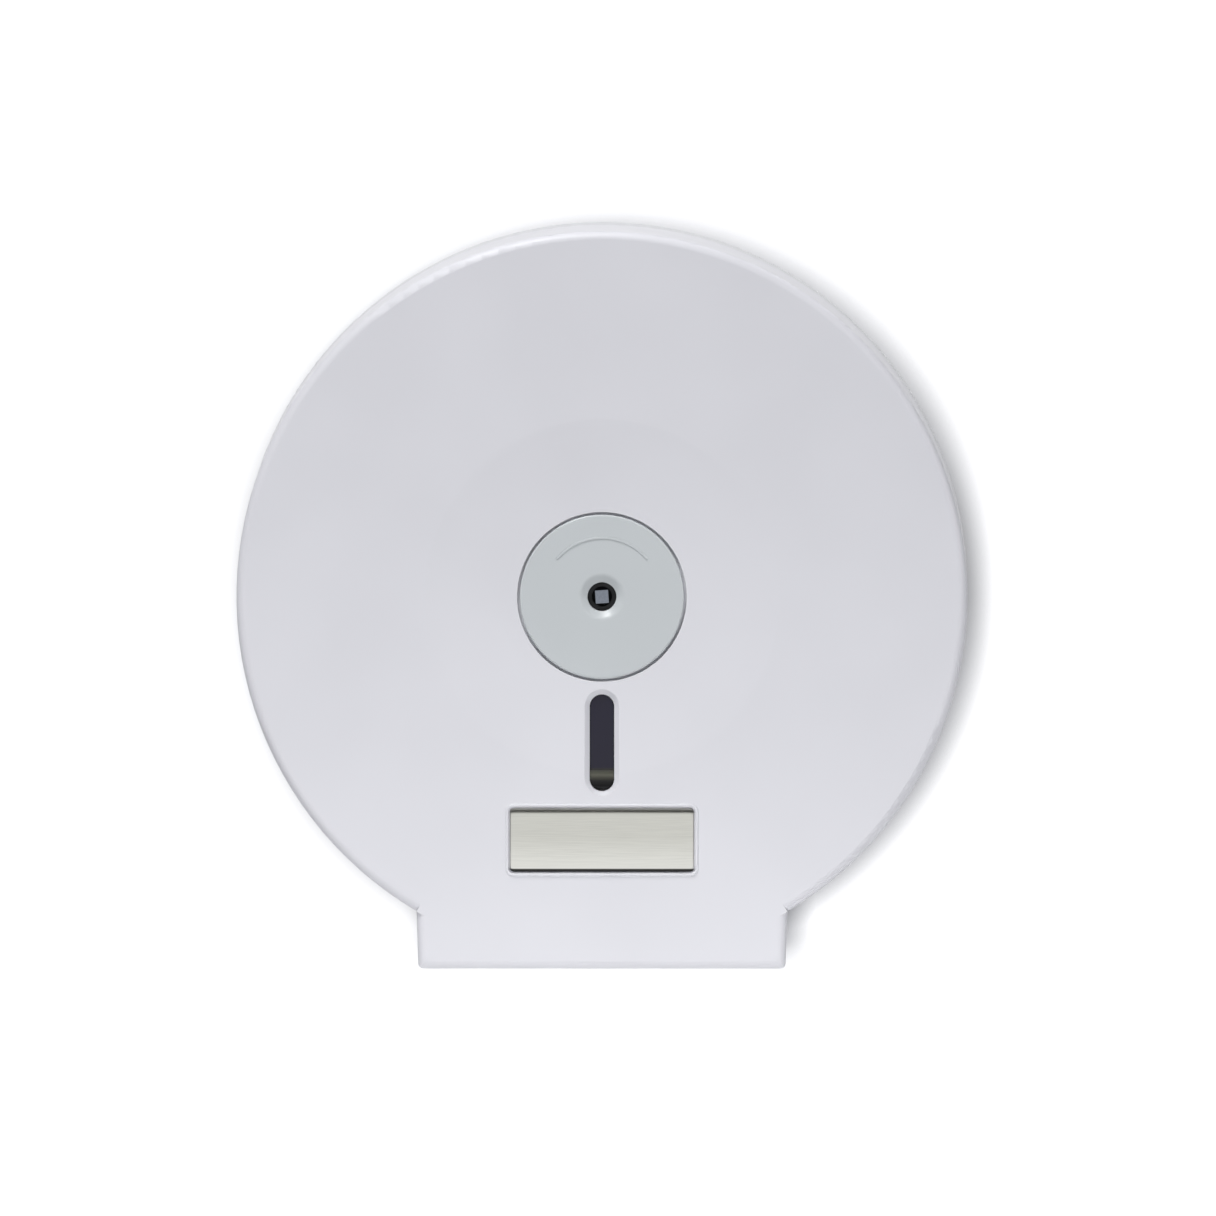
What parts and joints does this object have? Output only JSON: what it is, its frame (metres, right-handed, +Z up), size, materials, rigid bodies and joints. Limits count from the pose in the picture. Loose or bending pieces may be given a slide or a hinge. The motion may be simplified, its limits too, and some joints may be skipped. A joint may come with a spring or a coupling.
{
  "type": "jumbo toilet roll dispenser",
  "caption": "Round wall dispenser for a jumbo toilet roll: foot-hinged cover with a central lock and window slot, back tray, post and turning roll hub.",
  "frame": {"origin": "middle of the wall face, on the axis of the roll hub", "axes": "+Z up, +Y into the wall, so the front faces -Y, and +X to the right as seen from the front"},
  "size_m": [0.2852, 0.1225, 0.2853],
  "materials": {
    "case_abs": "moulded ABS, satin",
    "tray_abs": "moulded ABS, fine texture",
    "disc_abs": "moulded ABS, grey, fine texture",
    "hub_plastic": "moulded polypropylene",
    "smoked_lens": "smoked polycarbonate, polished",
    "brushed_plate": "brushed along its length",
    "zinc_steel": "zinc plated",
    "spring_steel": "phosphated spring steel",
    "pin_steel": "ground steel",
    "tear_steel": "stamped stainless sheet",
    "lock_zinc": "cast zinc, nickel plated",
    "felt": "pressed felt"
  },
  "bodies": {
    "back": {"back_tray": "tray_abs", "spindle_post": "tray_abs", "spindle_screws": "zinc_steel", "friction_washer": "felt", "hub_retaining_ring": "spring_steel", "lock_keeper": "zinc_steel", "keeper_screws": "zinc_steel", "hinge_pin_left": "pin_steel", "hinge_pin_right": "pin_steel"},
    "hub": {"core_hub": "hub_plastic"},
    "cover": {"front_cover": "case_abs", "window_lens": "smoked_lens", "lens_screws": "zinc_steel", "name_plate": "brushed_plate", "lock_disc": "disc_abs", "lock_housing": "hub_plastic", "disc_screws": "zinc_steel", "tear_bar_left": "tear_steel", "tear_bar_right": "tear_steel", "tear_bar_rivets": "zinc_steel"},
    "lock": {"lock_bolt": "lock_zinc", "lock_washer": "spring_steel", "lock_circlip": "spring_steel"}
  },
  "joints": [
    {"name": "hub_spin", "type": "hinge", "parent": "back", "child": "hub", "pos_m": [0, 0, 0], "axis": [0, 1, 0], "continuous": true},
    {"name": "cover_hinge", "type": "hinge", "parent": "back", "child": "cover", "pos_m": [0, -0.024, -0.135], "axis": [1, 0, 0], "range_deg": [0, 95]},
    {"name": "lock_turn", "type": "hinge", "parent": "cover", "child": "lock", "pos_m": [0, 0, 0], "axis": [0, 1, 0], "range_deg": [0, 90]}
  ]
}
